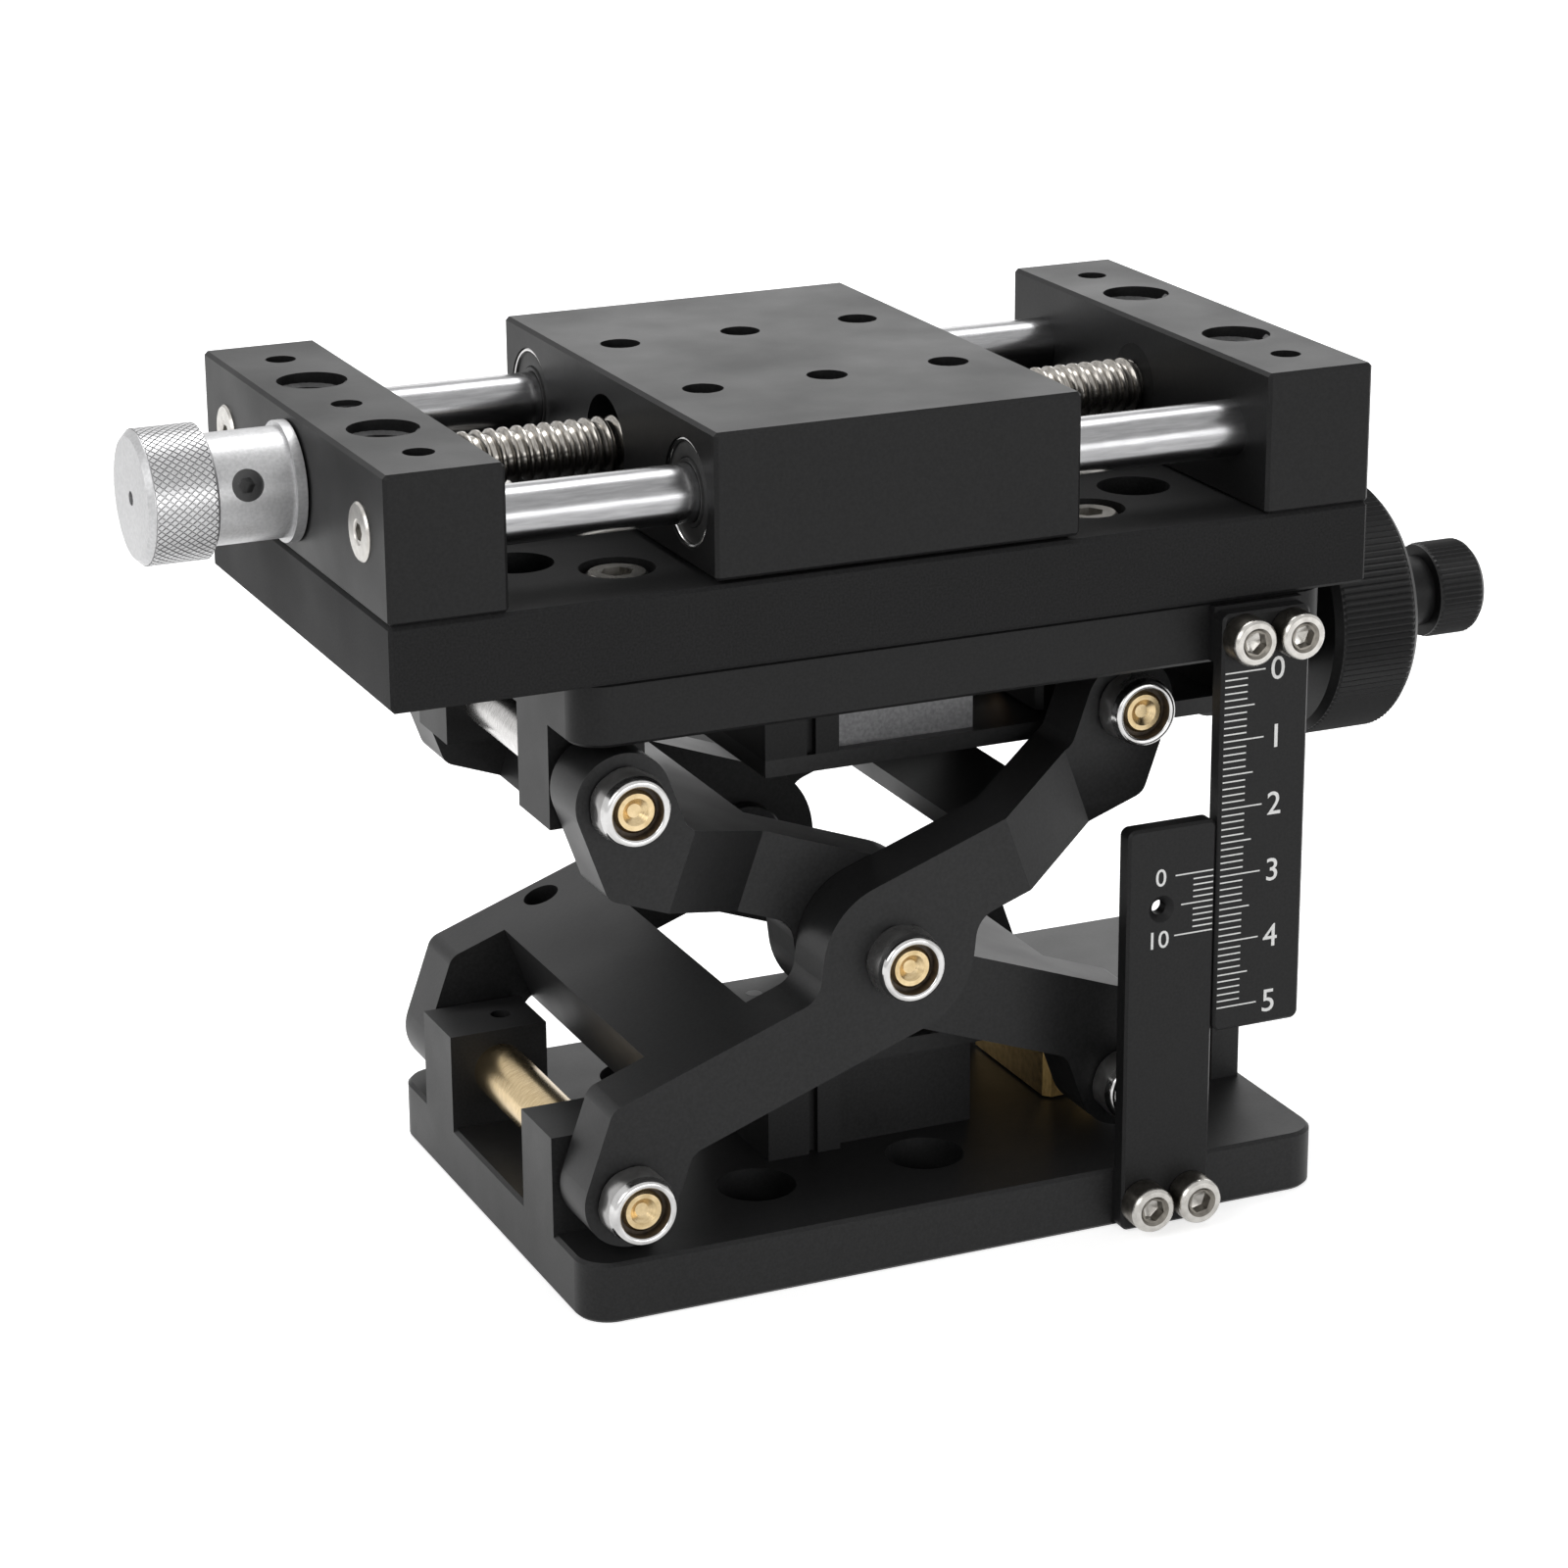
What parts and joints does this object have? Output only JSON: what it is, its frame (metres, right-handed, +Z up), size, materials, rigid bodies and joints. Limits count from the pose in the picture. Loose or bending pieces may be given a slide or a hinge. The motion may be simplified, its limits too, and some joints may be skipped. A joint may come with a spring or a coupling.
{
  "type": "scissor lift stage",
  "caption": "Manual scissor lift stage with a handwheel, a height scale with vernier, and a screw-driven slide with a tapped carriage on top.",
  "frame": {"origin": "middle of the underside of the base plate", "axes": "+X along the long side towards the lift's handwheel, +Y to the back away from the scale plates, +Z up"},
  "size_m": [0.2087, 0.0883, 0.1243],
  "materials": {
    "black_anodised": "satin black anodised",
    "bright_aluminium": "fine turned, clear anodised",
    "brass": "turned",
    "bronze": "sintered",
    "polished_steel": "hard chromed, polished",
    "stainless_steel": "bright turned",
    "screw_steel": "rolled thread",
    "black_polymer": "moulded",
    "white_fill": "white filled engraving",
    "black_oxide_steel": "black oxide"
  },
  "bodies": {
    "base": {"base_plate": "black_anodised", "lower_cover": "black_anodised", "lower_cover_screws": "black_oxide_steel", "lower_pivot_shaft": "brass", "lower_pivot_washers": "stainless_steel", "lower_pivot_nuts": "stainless_steel", "vernier_plate": "black_anodised", "vernier_screws": "stainless_steel"},
    "outer_arms": {"outer_arm_frame": "black_anodised", "centre_pivot_studs": "brass", "centre_pivot_heads": "black_oxide_steel", "centre_pivot_nuts": "stainless_steel"},
    "inner_arms": {"inner_arm_frame": "black_anodised"},
    "lower_slider": {"lower_slide_block": "brass", "lower_slide_shaft": "brass", "lower_slide_nuts": "stainless_steel"},
    "upper_slider": {"upper_slide_block": "black_anodised", "lift_nut": "bronze", "upper_slide_studs": "brass", "upper_slide_nuts": "stainless_steel"},
    "platform": {"top_plate": "black_anodised", "upper_cover": "black_anodised", "upper_cover_screws": "black_oxide_steel", "upper_pivot_shaft": "polished_steel", "upper_pivot_studs": "brass", "upper_pivot_washers": "stainless_steel", "upper_pivot_nuts": "stainless_steel", "screw_support": "bright_aluminium", "bearing_disc": "black_anodised", "scale_plate": "black_anodised", "scale_screws": "stainless_steel", "slide_plate": "black_anodised", "slide_plate_screws": "stainless_steel", "left_end_block": "black_anodised", "right_end_block": "black_anodised", "end_block_screws": "black_oxide_steel", "rod_set_screws": "black_oxide_steel", "guide_rods": "polished_steel", "rod_end_caps": "stainless_steel", "feed_bushes": "black_polymer"},
    "lift_screw": {"lift_screw": "screw_steel", "handwheel": "black_anodised"},
    "lock_knob": {"lock_knob": "black_anodised"},
    "feed_screw": {"feed_screw": "screw_steel", "feed_knob": "bright_aluminium", "knob_set_screw": "black_oxide_steel", "knob_collar": "bright_aluminium"},
    "carriage": {"carriage": "black_anodised", "linear_bushings": "stainless_steel", "carriage_nut": "bronze"}
  },
  "joints": [
    {"name": "lift", "type": "hinge", "parent": "base", "child": "outer_arms", "pos_m": [-0.0504, 0, 0.0172], "axis": [0, -1, 0], "range_deg": [-18, 8.5]},
    {"name": "scissor_centre", "type": "hinge", "parent": "outer_arms", "child": "inner_arms", "pos_m": [-0.00977, 0, 0.046], "axis": [0, -1, 0], "range_deg": [-17.5, 36.5]},
    {"name": "upper_fixed_pivot", "type": "hinge", "parent": "inner_arms", "child": "platform", "pos_m": [-0.0504, 0, 0.0748], "axis": [0, -1, 0], "range_deg": [-18.5, 9]},
    {"name": "upper_sliding_pivot", "type": "hinge", "parent": "outer_arms", "child": "upper_slider", "pos_m": [0.03086, 0, 0.0748], "axis": [0, -1, 0], "range_deg": [-9, 18.5]},
    {"name": "lower_sliding_pivot", "type": "hinge", "parent": "inner_arms", "child": "lower_slider", "pos_m": [0.03086, 0, 0.0172], "axis": [0, -1, 0], "range_deg": [-18.5, 9]},
    {"name": "lift_screw_turn", "type": "hinge", "parent": "platform", "child": "lift_screw", "pos_m": [0.057, 0, 0.0765], "axis": [1, 0, 0], "range_deg": [-1430, 680]},
    {"name": "lock_knob_turn", "type": "hinge", "parent": "lift_screw", "child": "lock_knob", "pos_m": [0.09, 0, 0.0765], "axis": [1, 0, 0], "range_deg": [0, 180]},
    {"name": "feed_screw_turn", "type": "hinge", "parent": "platform", "child": "feed_screw", "pos_m": [-0.083, 0, 0.114], "axis": [1, 0, 0], "range_deg": [-4520, 4520]},
    {"name": "carriage_slide", "type": "slide", "parent": "platform", "child": "carriage", "axis": [1, 0, 0], "range_m": [-0.025, 0.025]}
  ],
  "couplings": [
    {"joint": "scissor_centre", "follows": "lift", "ratio": -2},
    {"joint": "upper_fixed_pivot", "follows": "lift", "ratio": 1},
    {"joint": "upper_sliding_pivot", "follows": "lift", "ratio": -1},
    {"joint": "lower_sliding_pivot", "follows": "lift", "ratio": 1},
    {"joint": "lift_screw_turn", "follows": "lift", "ratio": 78.89},
    {"joint": "feed_screw_turn", "follows": "carriage_slide", "rad_per_m": -3141.6}
  ]
}
